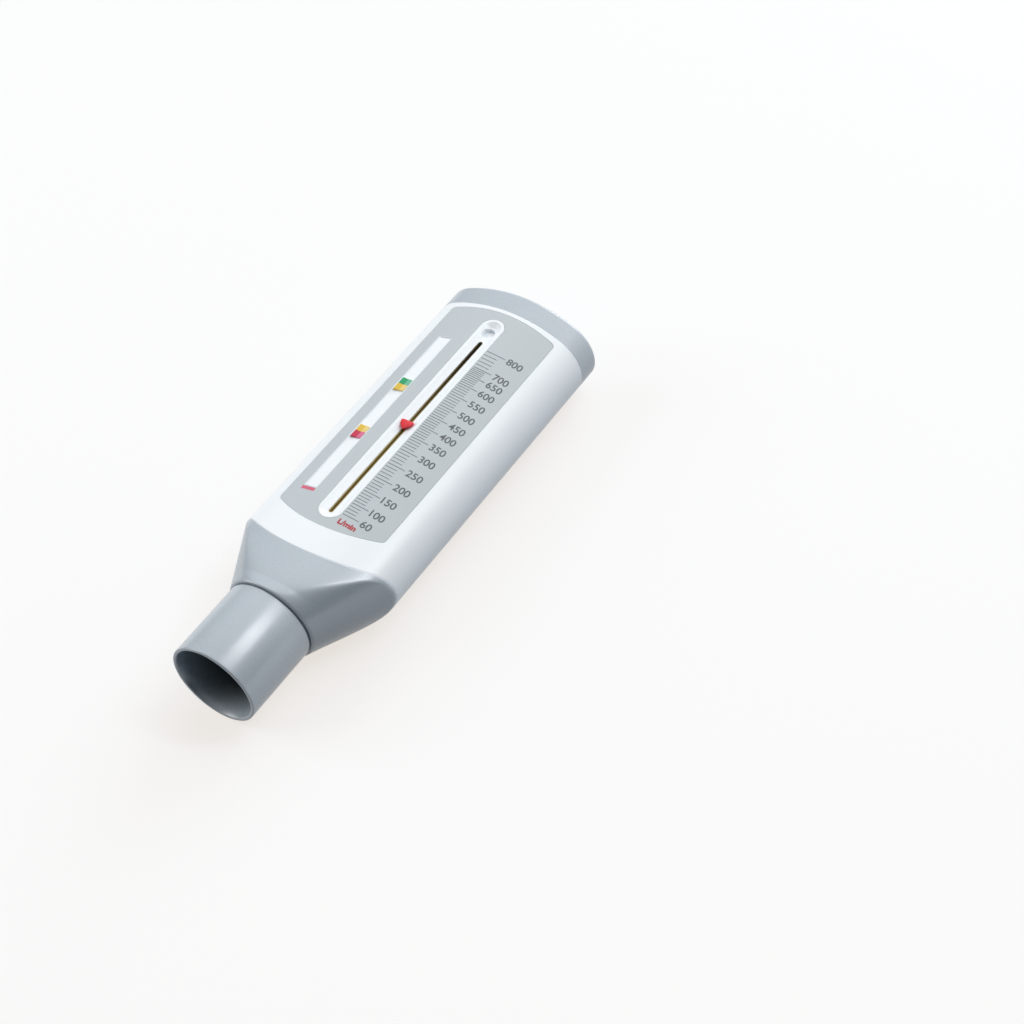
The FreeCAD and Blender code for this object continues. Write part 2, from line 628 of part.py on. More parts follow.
def pointer():
    """Arrowhead that points to the mouth, on a thin neck that goes through the slot."""
    base = POINTER_X + POINTER_NECK_LENGTH / 2
    rim = (POINTER_HEAD_WIDTH / 2 - LIP_HALF_WIDTH) / (CHANNEL_WIDTH / 2 - LIP_HALF_WIDTH)
    low = CHANNEL_FLOOR + CHANNEL_DEPTH * rim + POINTER_FLOAT
    corners = [Vector(base, CHANNEL_CENTRE - POINTER_HEAD_WIDTH / 2, low),
               Vector(base - POINTER_NOTCH, CHANNEL_CENTRE, low),
               Vector(base, CHANNEL_CENTRE + POINTER_HEAD_WIDTH / 2, low),
               Vector(base - POINTER_HEAD_LENGTH, CHANNEL_CENTRE, low)]
    head = Part.Face(Part.makePolygon(corners + corners[:1]))
    head = head.extrude(UP * (FRONT_RISE + POINTER_PROUD - low))
    head = head.makeFillet(POINTER_CORNER, edges_near(head, is_upright))
    neck = block(base - POINTER_NECK_LENGTH, base, CHANNEL_CENTRE - POINTER_NECK_WIDTH / 2,
                 CHANNEL_CENTRE + POINTER_NECK_WIDTH / 2, SHOE_BOTTOM, low + POINTER_FLOAT)
    return head.fuse(neck).removeSplitter()


def shoe_block(length, width, low, high):
    """Block under the pointer, centred on its neck."""
    return block(POINTER_X - length / 2, POINTER_X + length / 2,
                 CHANNEL_CENTRE - width / 2, CHANNEL_CENTRE + width / 2, low, high)


def pointer_shoe():
    """Slider under the slot. Its leg stands into the barrel, where the piston meets it."""
    neck_hole = shoe_block(POINTER_NECK_LENGTH + FIT_CLEARANCE, POINTER_NECK_WIDTH + FIT_CLEARANCE,
                           SHOE_BOTTOM, SHOE_TOP + SPARE)
    plate = shoe_block(SHOE_LENGTH, SHOE_WIDTH, SHOE_BOTTOM, SHOE_TOP).cut(neck_hole)
    leg = shoe_block(POINTER_NECK_LENGTH, LEG_WIDTH, BARREL_BORE - LEG_REACH, SHOE_BOTTOM)
    return plate.fuse(leg).removeSplitter()


def pointer_leaf():
    """Bowed strip of spring steel between the shoe and the slot's lips, which gives the friction."""
    half = SHOE_LENGTH / 2 - LEAF_THICKNESS
    lift = PAD_UNDERSIDE - SHOE_TOP - LEAF_THICKNESS - RUNNING_CLEARANCE
    side = CHANNEL_CENTRE - LEAF_WIDTH / 2

    def bow_line(z):
        return [Vector(POINTER_X - half, side, z), Vector(POINTER_X, side, z + lift),
                Vector(POINTER_X + half, side, z)]

    under = bow_line(SHOE_TOP)
    over = bow_line(SHOE_TOP + LEAF_THICKNESS)
    strip = Part.Face(Part.Wire([
        Part.Arc(*under).toShape(),
        Part.LineSegment(under[2], over[2]).toShape(),
        Part.Arc(*reversed(over)).toShape(),
        Part.LineSegment(over[0], under[0]).toShape(),
    ])).extrude(Vector(0, LEAF_WIDTH, 0))
    hole = shoe_block(POINTER_NECK_LENGTH + 2 * FIT_CLEARANCE, POINTER_NECK_WIDTH + 2 * FIT_CLEARANCE,
                      SHOE_BOTTOM, PAD_UNDERSIDE)
    return strip.cut(hole)


def marker_half(start):
    """One colour of a zone marker: a button that straddles the rail, with feet below the plate."""
    end = start + MARKER_HALF_LENGTH
    half = GROOVE_WIDTH / 2 - MARKER_CLEARANCE
    foot_half = half + GROOVE_UNDERCUT - MARKER_CLEARANCE
    foot_top = PLATE_UNDERSIDE - MARKER_CLEARANCE
    top = FRONT_RISE + MARKER_PROUD
    button = block(start, end, -half, half, foot_top, top)
    long_edges = edges_near(button, lambda middle, edge: abs(middle.z - top) < FIT_CLEARANCE
                            and abs(abs(middle.y) - half) < FIT_CLEARANCE)
    button = button.makeFillet(MARKER_EDGE, long_edges)
    foot = block(start, end, -foot_half, foot_half, foot_top - MARKER_FOOT, foot_top)
    outer = half - MARKER_EDGE
    slope = [Vector(start, 0, top), Vector(start, outer, top),
             Vector(start, outer - MARKER_CREST, top + MARKER_RIDGE)]
    ridge = Part.Face(Part.makePolygon(slope + slope[:1])).extrude(ALONG * (end - start))
    rail = groove_rail(MARKER_CLEARANCE, start - SPARE, end + SPARE)
    return on_marker_line(button.fuse([foot, ridge])).cut(rail).removeSplitter()


def end_cap():
    """Oval cap that plugs the sleeve, holds the barrel's far end and lets the air out."""
    ends = (CAP_X - FAR, END_X + FAR)
    joint = beyond(CAP_X, CAP_BULGE)
    far_end = beyond(END_X, CAP_BULGE)
    outside = oval_prism(*ends).common(joint).cut(far_end)
    rim = edges_near(outside, lambda middle, edge: middle.x > END_X - CAP_LENGTH / 2)
    outside = outside.makeFillet(END_ROUNDING, rim)
    wall_inside = beyond(END_X - CAP_WALL, CAP_BULGE)
    root = beyond(CAP_X + PLUG_ROOT, CAP_BULGE)
    room = oval_prism(*ends, CAP_WALL).common(root).fuse(oval_prism(*ends, PLUG_INNER))
    hollow = room.common(joint).cut(wall_inside)
    socket_start = BARREL_END - SOCKET_DEPTH
    socket_outer = SOCKET_RADIUS + SOCKET_WALL
    socket = tube(socket_start, OVERALL_LENGTH, SPIDER_RADIUS, socket_outer)
    socket = socket.cut(bar(socket_start - SPARE, BARREL_END, SOCKET_RADIUS)).cut(wall_inside)
    half_rib = RIB_THICKNESS / 2
    ribs = block(CAP_X, OVERALL_LENGTH, -HALF_WIDTH, HALF_WIDTH, -half_rib, half_rib)
    ribs = ribs.common(hollow).cut(bar(CAP_X - SPARE, OVERALL_LENGTH, SOCKET_RADIUS))
    sleeve_plug = plug(CAP_X, CAP_BULGE, PLUG_ROOT, -JOINT_PLUG_LENGTH)
    vents = []
    for n in range(VENT_COUNT):
        y = (n - (VENT_COUNT - 1) / 2) * VENT_PITCH
        slit = block(END_X - CAP_WALL - SPARE, OVERALL_LENGTH + SPARE,
                     y - VENT_WIDTH / 2, y + VENT_WIDTH / 2, -VENT_HEIGHT / 2, VENT_HEIGHT / 2)
        vents.append(slit.common(beyond(END_X - CAP_WALL - FIT_CLEARANCE, CAP_BULGE)))
    return outside.cut(hollow).fuse([sleeve_plug, socket, ribs]).cut(vents).removeSplitter()


def save(node, shape):
    """Move a piece from the bench into the part's own frame and write it."""
    placed = shape.copy()
    placed.translate(Vector(-OVERALL_LENGTH / 2, 0, REST_DROP))
    placed.exportStep("parts/" + node + ".step")


if __name__ == "__main__":
    os.makedirs("parts", exist_ok=True)
    save("mouthpiece", mouthpiece())
    save("inlet_adapter", inlet_adapter())
    save("body_sleeve", body_sleeve())
    save("slot_liner", slot_liner())
    save("scale_plate", scale_plate())
    save("end_cap", end_cap())
    save("barrel_seal", barrel_seal())
    save("measuring_barrel", measuring_barrel())
    save("front_spider", spider(BARREL_START))
    save("rear_spider", spider(REAR_SPIDER_START))
    save("guide_rod", guide_rod())
    save("rod_nut", rod_nut())
    save("rest_buffer", buffer_ring(FRONT_SPIDER_END, REST_BUFFER_LENGTH))
    save("end_buffer", buffer_ring(REAR_SPIDER_START - END_BUFFER_LENGTH, END_BUFFER_LENGTH))
    save("piston", piston())
    save("piston_bush", piston_bush())
    save("return_spring", return_spring())
    save("pointer", pointer())
    save("pointer_shoe", pointer_shoe())
    save("pointer_leaf", pointer_leaf())
    save("upper_marker_green", marker_half(UPPER_MARKER_X))
    save("upper_marker_yellow", marker_half(UPPER_MARKER_X - MARKER_HALF_LENGTH))
    save("lower_marker_yellow", marker_half(LOWER_MARKER_X))
    save("lower_marker_red", marker_half(LOWER_MARKER_X - MARKER_HALF_LENGTH))
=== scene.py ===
import math

import bmesh
import bpy
import mathutils
import numpy as np
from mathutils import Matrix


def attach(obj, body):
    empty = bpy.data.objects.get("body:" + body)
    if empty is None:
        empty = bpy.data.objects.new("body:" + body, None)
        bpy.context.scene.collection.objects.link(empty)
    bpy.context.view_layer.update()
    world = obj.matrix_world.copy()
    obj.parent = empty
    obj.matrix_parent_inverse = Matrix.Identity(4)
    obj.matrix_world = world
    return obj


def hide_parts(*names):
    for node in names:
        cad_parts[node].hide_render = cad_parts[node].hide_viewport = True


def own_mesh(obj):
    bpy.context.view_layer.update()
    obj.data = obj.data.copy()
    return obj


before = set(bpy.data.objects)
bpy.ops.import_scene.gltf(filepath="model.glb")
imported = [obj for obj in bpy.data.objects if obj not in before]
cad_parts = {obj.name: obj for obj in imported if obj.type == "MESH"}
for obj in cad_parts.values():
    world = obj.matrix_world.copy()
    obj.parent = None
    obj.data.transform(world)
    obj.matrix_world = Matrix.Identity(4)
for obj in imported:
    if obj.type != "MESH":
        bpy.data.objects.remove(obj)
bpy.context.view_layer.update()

# Mouthpiece. An injection-moulded tube of grey plastic with a satin skin, thin at the rim, where the
# bore flares for the lips. Its stepped-down end pushes into the collar and pulls out for washing.
# Sizes of the pieces are in millimetres, with x from the rim of the mouthpiece and z from the flow axis.
HALF_LENGTH = 86.0
AXIS_HEIGHT = 15.65
MOUTH_REACH = 28.0
MOUTH_RADIUS = 15.0
MOUTH_BORE = 13.2
RIM_BORE = 13.9
RIM_FLARE = 2.5
SPIGOT_RADIUS = 14.0
COLLAR_X = 28.5
SPIGOT_END = 40.0
GREY = (184, 194, 202)
# Painted shade in the bore: its colour, and the places along x where it starts, is full, starts to fade and
# ends.
BORE_SHADE = (58, 62, 66)
SHADE_STARTS = 2.0
SHADE_FULL = 16.0
SHADE_FADES = 56.0
SHADE_ENDS = 60.0


def row(points):
    """Millimetres to the frame's metres: x less half the length and z plus the axis height, over 1000."""
    return (np.asarray(points, float) + (-HALF_LENGTH, 0.0, AXIS_HEIGHT)) * 0.001


def light_of(shown):
    """Screen values of 0 to 255 to shader light: the inverse of the display's power curve, part by part."""
    share = np.asarray(shown, float) / 255
    return np.where(share <= 0.04045, share / 12.92, ((share + 0.055) / 1.055) ** 2.4)


def weld(mesh):
    """Points that fall together become one, so that seams and poles are closed."""
    form = bmesh.new()
    form.from_mesh(mesh)
    bmesh.ops.remove_doubles(form, verts=form.verts, dist=1e-7)
    form.to_mesh(mesh)
    form.free()


def skin(name, grid, rows_close=False, columns_close=False):
    """A grid of points made a surface: each cell (i, j) is the quad i,j - i+1,j - i+1,j+1 - i,j+1.

    A direction that closes has one more band of quads, from its last line back to its first.
    """
    rows, columns = grid.shape[:2]
    i = np.arange(rows if rows_close else rows - 1)[:, None]
    j = np.arange(columns if columns_close else columns - 1)[None, :]
    on_i = (i + 1) % rows
    on_j = (j + 1) % columns
    corners = [i * columns + j, on_i * columns + j, on_i * columns + on_j, i * columns + on_j]
    quads = np.stack(np.broadcast_arrays(*corners), axis=-1).reshape(-1, 4)
    mesh = bpy.data.meshes.new(name)
    mesh.from_pydata(row(grid.reshape(-1, 3)).tolist(), [], quads.tolist())
    weld(mesh)
    mesh.shade_smooth()
    piece = bpy.data.objects.new(name, mesh)
    bpy.context.scene.collection.objects.link(piece)
    return piece


def eased(corners, radii, steps=5):
    """Closed profile with soft corners: at each corner p the curve (1-t)^2 a + 2t(1-t) p + t^2 b.

    a and b lie on the two sides that meet there, one radius away from p.
    """
    p = np.asarray(corners, float)
    reach = np.asarray(radii, float)[:, None]
    back = np.roll(p, 1, axis=0) - p
    ahead = np.roll(p, -1, axis=0) - p
    a = p + back / np.linalg.norm(back, axis=1, keepdims=True) * reach
    b = p + ahead / np.linalg.norm(ahead, axis=1, keepdims=True) * reach
    t = np.linspace(0, 1, steps)[None, :, None]
    curve = (1 - t) ** 2 * a[:, None] + 2 * t * (1 - t) * p[:, None] + t ** 2 * b[:, None]
    return curve.reshape(-1, 2)


def turned(name, profile, steps=160):
    """Profile of (x, radius) carried round the flow axis: (x, r cos a, r sin a) for a from 0 to 2 pi."""
    a = np.linspace(0, 2 * np.pi, steps, endpoint=False)[:, None]
    x, r = profile[None, :, 0], profile[None, :, 1]
    grid = np.stack(np.broadcast_arrays(x + 0 * a, r * np.cos(a), r * np.sin(a)), axis=-1)
    return skin(name, grid, True, True)


def moulded(name, shown, roughness=0.4, drift=0.03, grain=0.25, grain_size=0.35, edge=0.2, edge_tone=0.1,
            sheen=0.5, flake=0.0):
    """Plastic out of a steel mould: a fine spark-worn grain, a slow drift of tone, and paler worn edges.

    Edges are where the true normal leaves the one that is averaged over a small radius.
    """
    material = bpy.data.materials.new(name)
    material.use_nodes = True
    nodes, links = material.node_tree.nodes, material.node_tree.links
    surface = nodes["Principled BSDF"]
    surface.inputs["Specular IOR Level"].default_value = sheen
    surface.inputs["Metallic"].default_value = flake
    place = nodes.new("ShaderNodeTexCoord").outputs["Object"]

    slow = nodes.new("ShaderNodeTexNoise")
    slow.inputs["Scale"].default_value = 55
    slow.inputs["Detail"].default_value = 3
    links.new(place, slow.inputs["Vector"])
    tone = nodes.new("ShaderNodeMapRange")
    tone.inputs["From Min"].default_value = 0.3
    tone.inputs["From Max"].default_value = 0.7
    links.new(slow.outputs["Fac"], tone.inputs["Value"])
    colour = nodes.new("ShaderNodeMix")
    colour.data_type = "RGBA"
    colour.inputs["A"].default_value = (*light_of(shown) * (1 - drift), 1)
    colour.inputs["B"].default_value = (*light_of(shown) * (1 + drift / 2), 1)
    links.new(tone.outputs["Result"], colour.inputs["Factor"])

    fine = nodes.new("ShaderNodeTexNoise")
    fine.inputs["Scale"].default_value = 1000 / grain_size
    fine.inputs["Detail"].default_value = 2
    links.new(place, fine.inputs["Vector"])
    soft = nodes.new("ShaderNodeBevel")
    soft.samples = 6
    soft.inputs["Radius"].default_value = edge * 0.001
    bump = nodes.new("ShaderNodeBump")
    bump.inputs["Strength"].default_value = grain
    bump.inputs["Distance"].default_value = 0.00002
    links.new(fine.outputs["Fac"], bump.inputs["Height"])
    links.new(soft.outputs["Normal"], bump.inputs["Normal"])
    links.new(bump.outputs["Normal"], surface.inputs["Normal"])

    true = nodes.new("ShaderNodeNewGeometry")
    match = nodes.new("ShaderNodeVectorMath")
    match.operation = "DOT_PRODUCT"
    links.new(true.outputs["Normal"], match.inputs[0])
    links.new(soft.outputs["Normal"], match.inputs[1])
    worn = nodes.new("ShaderNodeMapRange")
    worn.inputs["From Min"].default_value = 0.995
    worn.inputs["From Max"].default_value = 0.80
    worn.inputs["To Max"].default_value = edge_tone
    links.new(match.outputs["Value"], worn.inputs["Value"])
    paler = nodes.new("ShaderNodeMix")
    paler.data_type = "RGBA"
    paler.inputs["B"].default_value = (*np.minimum(light_of(shown) * 1.5 + 0.05, 0.95), 1)
    links.new(worn.outputs["Result"], paler.inputs["Factor"])
    links.new(colour.outputs["Result"], paler.inputs["A"])
    links.new(paler.outputs["Result"], surface.inputs["Base Color"])

    gloss = nodes.new("ShaderNodeMapRange")
    gloss.inputs["To Min"].default_value = roughness - 0.06
    gloss.inputs["To Max"].default_value = roughness + 0.06
    links.new(fine.outputs["Fac"], gloss.inputs["Value"])
    links.new(gloss.outputs["Result"], surface.inputs["Roughness"])
    return material


def place_in(material):
    """The object's own coordinates in metres from the rim and the flow axis: the vector, and its axes."""
    nodes, links = material.node_tree.nodes, material.node_tree.links
    moved = nodes.new("ShaderNodeMapping")
    moved.inputs["Location"].default_value = (HALF_LENGTH * 0.001, 0.0, -AXIS_HEIGHT * 0.001)
    links.new(nodes.new("ShaderNodeTexCoord").outputs["Object"], moved.inputs["Vector"])
    split = nodes.new("ShaderNodeSeparateXYZ")
    links.new(moved.outputs["Vector"], split.inputs["Vector"])
    return moved.outputs["Vector"], split.outputs


def ramp(material, value, start, end):
    """Share of the way from start to end in millimetres: (v - start) / (end - start), kept from 0 to 1."""
    slope = material.node_tree.nodes.new("ShaderNodeMapRange")
    slope.inputs["From Min"].default_value = start * 0.001
    slope.inputs["From Max"].default_value = end * 0.001
    material.node_tree.links.new(value, slope.inputs["Value"])
    return slope.outputs["Result"]


def tint(material, shares, shown):
    """Where the product of the shares is 1 the finish takes this colour. Where it is 0 it keeps its own."""
    nodes, links = material.node_tree.nodes, material.node_tree.links
    share = shares[0]
    for other in shares[1:]:
        product = nodes.new("ShaderNodeMath")
        product.operation = "MULTIPLY"
        links.new(share, product.inputs[0])
        links.new(other, product.inputs[1])
        share = product.outputs["Value"]
    base = nodes["Principled BSDF"].inputs["Base Color"]
    mixed = nodes.new("ShaderNodeMix")
    mixed.data_type = "RGBA"
    mixed.inputs["B"].default_value = (*light_of(shown), 1)
    links.new(share, mixed.inputs["Factor"])
    links.new(base.links[0].from_socket, mixed.inputs["A"])
    links.new(mixed.outputs["Result"], base)


def dark_bore(material):
    """Painted shade: the bore's colour darkens inwards, by sqrt(y^2 + z^2), and by x from behind the rim up
    to the funnel.
    """
    nodes, links = material.node_tree.nodes, material.node_tree.links
    place, axis = place_in(material)
    across = nodes.new("ShaderNodeVectorMath")
    across.operation = "MULTIPLY"
    across.inputs[1].default_value = (0.0, 1.0, 1.0)
    links.new(place, across.inputs[0])
    reach = nodes.new("ShaderNodeVectorMath")
    reach.operation = "LENGTH"
    links.new(across.outputs["Vector"], reach.inputs[0])
    tint(material, [ramp(material, reach.outputs["Value"], MOUTH_BORE + 0.6, MOUTH_BORE + 0.1),
                    ramp(material, axis["X"], SHADE_STARTS, SHADE_FULL),
                    ramp(material, axis["X"], SHADE_ENDS, SHADE_FADES)], BORE_SHADE)


def dress(piece, material):
    """The one material of a new piece."""
    piece.data.materials.clear()
    piece.data.materials.append(material)


grey_moulding = moulded("grey_moulding", GREY, roughness=0.29, grain=0.1, sheen=1.0, flake=0.03)
# Painted shade darkens the grey inside the bores of the mouthpiece and the adapter.
dark_bore(grey_moulding)
mouth_profile = eased(
    [(0, RIM_BORE), (0, MOUTH_RADIUS), (MOUTH_REACH, MOUTH_RADIUS), (MOUTH_REACH, SPIGOT_RADIUS),
     (SPIGOT_END, SPIGOT_RADIUS), (SPIGOT_END, MOUTH_BORE), (RIM_FLARE, MOUTH_BORE)],
    [0.4, 0.5, 0.3, 0.1, 0.4, 0.3, 1.2])
mouth_tube = turned("mouth_tube", mouth_profile)
dress(mouth_tube, grey_moulding)
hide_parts("mouthpiece")
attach(mouth_tube, "mouthpiece_tube")

# Inlet adapter. One grey moulding that turns the round collar into the flat oval of the body. The crowned
# front runs on over it as a pale facet, and the sides are a widening cone; their crease is soft by the
# collar and crisp at the joint with the sleeve.
COLLAR_RADIUS = 15.6
COLLAR_BORE = 14.06
INLET_X = 55.2
INLET_BULGE = 8.3
TAPER_END = 54.0
HALF_WIDTH = 28.35
SIDE_RADIUS = 11.6
FRONT_RISE = 14.7
BACK_DROP = 16.35
TAPER_HALF_HEIGHT = 23.0
FUNNEL_END = 52.2
BARREL_BORE = 9.1


def crown_radius(height):
    """Radius of the crowning arc that meets both side arcs: (s^2 + h^2 - q^2) / (2 (h - q))."""
    side_y = HALF_WIDTH - SIDE_RADIUS
    return (side_y ** 2 + height ** 2 - SIDE_RADIUS ** 2) / (2 * (height - SIDE_RADIUS))


def oval_reach(a, front):
    """Distance from the flow axis to the casing's skin in the direction a.

    Each arc of radius q round the centre c is met at c.d + sqrt(q^2 - (c x d)^2) along d = (cos a, sin a).
    The front and back arcs count inside their own fans, the side arcs elsewhere, the back stops at its land.
    """
    side_y = HALF_WIDTH - SIDE_RADIUS
    y, z = np.cos(a), np.sin(a)

    def met(centre_y, centre_z, radius):
        along = centre_y * y + centre_z * z
        across = centre_y * z - centre_z * y
        return along + np.sqrt(np.maximum(radius ** 2 - across ** 2, 0))

    front_radius = crown_radius(front)
    back_radius = crown_radius(BACK_DROP)
    side = met(np.sign(y) * side_y, 0, SIDE_RADIUS)
    top = met(0, front - front_radius, front_radius)
    under = met(0, back_radius - BACK_DROP, back_radius)

    def in_fan(reach, radius):
        """True where the point met lies between the two places where the arc joins the sides."""
        join_y = side_y + SIDE_RADIUS * side_y / (radius - SIDE_RADIUS)
        return np.abs(reach * y) < join_y

    reach = np.where((z > 0) & in_fan(top, front_radius), top, side)
    reach = np.where((z < 0) & in_fan(under, back_radius), under, reach)
    land = AXIS_HEIGHT / np.maximum(-z, 1e-6)
    return np.where(z < 0, np.minimum(reach, land), reach)


def joint_x(y, x, bulge):
    """Bowed joint in plan: x - b + R - sqrt(R^2 - y^2), an arc of radius R = (w^2 + b^2) / 2b.

    It meets x at the half width w and bows by b towards the mouth.
    """
    radius = (HALF_WIDTH ** 2 + bulge ** 2) / (2 * bulge)
    return x - bulge + radius - np.sqrt(radius ** 2 - np.asarray(y) ** 2)


def adapter_grid(steps=360):
    """The adapter as a closed loop of stations carried round the axis.

    At a station x the cone is the ellipse ab / sqrt((b cos a)^2 + (a sin a)^2), whose half axes grow in
    proportion to x. The skin is the soft minimum of ellipse e and casing c,
    (e + c - sqrt((e - c)^2 + k^2)) / 2. The softness k swells just past the collar and falls towards the
    joint. Each line ends where it meets the bowed joint, found by repeated substitution of its own y.
    """
    a = np.linspace(0, 2 * np.pi, steps, endpoint=False)[:, None]

    def reach(x):
        share = (x - COLLAR_X) / (TAPER_END - COLLAR_X)
        wide = COLLAR_RADIUS + share * (HALF_WIDTH - COLLAR_RADIUS)
        high = COLLAR_RADIUS + share * (TAPER_HALF_HEIGHT - COLLAR_RADIUS)
        ellipse = wide * high / np.sqrt((high * np.cos(a)) ** 2 + (wide * np.sin(a)) ** 2)
        up = np.clip((x - COLLAR_X) / (INLET_X - INLET_BULGE - COLLAR_X), 0, 1)
        casing = oval_reach(a, (COLLAR_RADIUS + 0.05) * (1 - up) + FRONT_RISE * up)
        k = 1.5 * (1 - np.clip(share, 0, 1)) ** 1.5 * np.clip(share * 6, 0, 1) + 0.12
        return (ellipse + casing - np.sqrt((ellipse - casing) ** 2 + k ** 2)) / 2

    end = np.full_like(a, INLET_X - INLET_BULGE / 2)
    for _ in range(30):
        end = joint_x(np.clip(reach(end) * np.cos(a), -HALF_WIDTH, HALF_WIDTH), INLET_X, INLET_BULGE)
    t = np.linspace(0, 1, 49)[None, :]
    x_out = COLLAR_X + (end - COLLAR_X) * t
    r_out = reach(x_out)
    lip = 0.25
    r_out[:, 0] -= lip
    x_out[:, 1] = COLLAR_X + lip
    r_out[:, 1:2] = reach(x_out[:, 1:2])
    x_in = np.array([52.0, FUNNEL_END, 48.0, 44.0, SPIGOT_END, SPIGOT_END, SPIGOT_END - 4, COLLAR_X + lip,
                     COLLAR_X])
    funnel = BARREL_BORE + (MOUTH_BORE - BARREL_BORE) * (FUNNEL_END - x_in) / (FUNNEL_END - SPIGOT_END)
    r_in = np.where(x_in > SPIGOT_END - 1, funnel, COLLAR_BORE)
    r_in[0] = BARREL_BORE + 2
    r_in[5] = COLLAR_BORE
    r_in[-1] = COLLAR_BORE + lip
    x = np.concatenate([x_out, np.broadcast_to(x_in, (steps, len(x_in)))], axis=1)
    r = np.concatenate([r_out, np.broadcast_to(r_in, (steps, len(r_in)))], axis=1)
    return np.stack([x, r * np.cos(a), r * np.sin(a)], axis=-1)


inlet_shell = skin("inlet_shell", adapter_grid(), True, True)
dress(inlet_shell, grey_moulding)
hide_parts("inlet_adapter")
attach(inlet_shell, "case")

# Measuring barrel and its fittings. A brown acetal tube with ports along both sides, white acetal
# spiders at its ends that hold a drawn steel rod, rubber buffers on the rod and a seal at the funnel.


def finish_node(node, material):
    """A CAD node whose shape is right keeps it and gets this finish in every slot."""
    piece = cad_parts[node]
    piece.data.materials.clear()
    piece.data.materials.append(material)


def drawn_steel(name, roughness=0.28):
    """Steel drawn through a die: streaks that run along the flow axis, stretched noise in object space."""
    material = bpy.data.materials.new(name)
    material.use_nodes = True
    nodes, links = material.node_tree.nodes, material.node_tree.links
    surface = nodes["Principled BSDF"]
    surface.inputs["Metallic"].default_value = 1
    place = nodes.new("ShaderNodeTexCoord").outputs["Object"]
    stretch = nodes.new("ShaderNodeMapping")
    stretch.inputs["Scale"].default_value = (60, 2600, 2600)
    links.new(place, stretch.inputs["Vector"])
    streaks = nodes.new("ShaderNodeTexNoise")
    streaks.inputs["Scale"].default_value = 1
    streaks.inputs["Detail"].default_value = 3
    links.new(stretch.outputs["Vector"], streaks.inputs["Vector"])
    colour = nodes.new("ShaderNodeMix")
    colour.data_type = "RGBA"
    colour.inputs["A"].default_value = (0.50, 0.50, 0.52, 1)
    colour.inputs["B"].default_value = (0.66, 0.66, 0.67, 1)
    links.new(streaks.outputs["Fac"], colour.inputs["Factor"])
    links.new(colour.outputs["Result"], surface.inputs["Base Color"])
    gloss = nodes.new("ShaderNodeMapRange")
    gloss.inputs["To Min"].default_value = roughness - 0.08
    gloss.inputs["To Max"].default_value = roughness + 0.1
    links.new(streaks.outputs["Fac"], gloss.inputs["Value"])
    links.new(gloss.outputs["Result"], surface.inputs["Roughness"])
    bump = nodes.new("ShaderNodeBump")
    bump.inputs["Strength"].default_value = 0.15
    bump.inputs["Distance"].default_value = 0.00001
    links.new(streaks.outputs["Fac"], bump.inputs["Height"])
    links.new(bump.outputs["Normal"], surface.inputs["Normal"])
    return material


brown_acetal = moulded("brown_acetal", (112, 98, 62), roughness=0.38, drift=0.06, edge=0.1)
white_acetal = moulded("white_acetal", (232, 233, 230), roughness=0.45, edge=0.1)
black_rubber = moulded("black_rubber", (42, 42, 44), roughness=0.75, drift=0.1, grain=0.6, grain_size=0.5,
                       edge=0.1, edge_tone=0.05)
dark_bush = moulded("dark_bush", (88, 90, 94), roughness=0.5, edge=0.05)
steel = drawn_steel("steel")
finish_node("measuring_barrel", brown_acetal)
finish_node("front_spider", white_acetal)
finish_node("rear_spider", white_acetal)
finish_node("barrel_seal", black_rubber)
finish_node("rest_buffer", black_rubber)
finish_node("end_buffer", black_rubber)
finish_node("guide_rod", steel)
finish_node("rod_nut", steel)

# Piston and return spring. A thin white acetal disc with a ribbed skirt slides on the rod on a dark
# bush. The spring is fine steel wire, wound open, and closes up against the far spider.
SPRING_START = 61.15
SPRING_END = 156.35
SPRING_RADIUS = 3.9
SPRING_TURNS = 11
WIRE_RADIUS = 0.25


def coil(steps=528, sides=10):
    """Helix (x0 + L t, R cos w, R sin w) with w = 2 pi n t, and a ring of wire round each of its points.

    The ring lies in the plane of the outward normal and of the binormal, square to the helix.
    """
    t = np.linspace(0, 1, steps)[:, None]
    w = 2 * np.pi * SPRING_TURNS * t
    pitch = (SPRING_END - SPRING_START) / (2 * np.pi * SPRING_TURNS)
    centre = np.stack([SPRING_START + (SPRING_END - SPRING_START) * t, SPRING_RADIUS * np.cos(w),
                       SPRING_RADIUS * np.sin(w)], axis=-1)
    out = np.stack([0 * w, np.cos(w), np.sin(w)], axis=-1)
    length = math.hypot(pitch, SPRING_RADIUS)
    side = np.stack([SPRING_RADIUS + 0 * w, pitch * np.sin(w), -pitch * np.cos(w)], axis=-1) / length
    b = np.linspace(0, 2 * np.pi, sides, endpoint=False)[None, :, None]
    ring = centre + WIRE_RADIUS * (np.cos(b) * out + np.sin(b) * side)
    first = np.repeat(centre[:1], sides, axis=1)
    last = np.repeat(centre[-1:], sides, axis=1)
    return np.concatenate([first, ring, last])


spring_coil = skin("spring_coil", coil(), False, True)
dress(spring_coil, steel)
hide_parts("return_spring")
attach(spring_coil, "case")
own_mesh(spring_coil)
finish_node("piston", white_acetal)
finish_node("piston_bush", dark_bush)

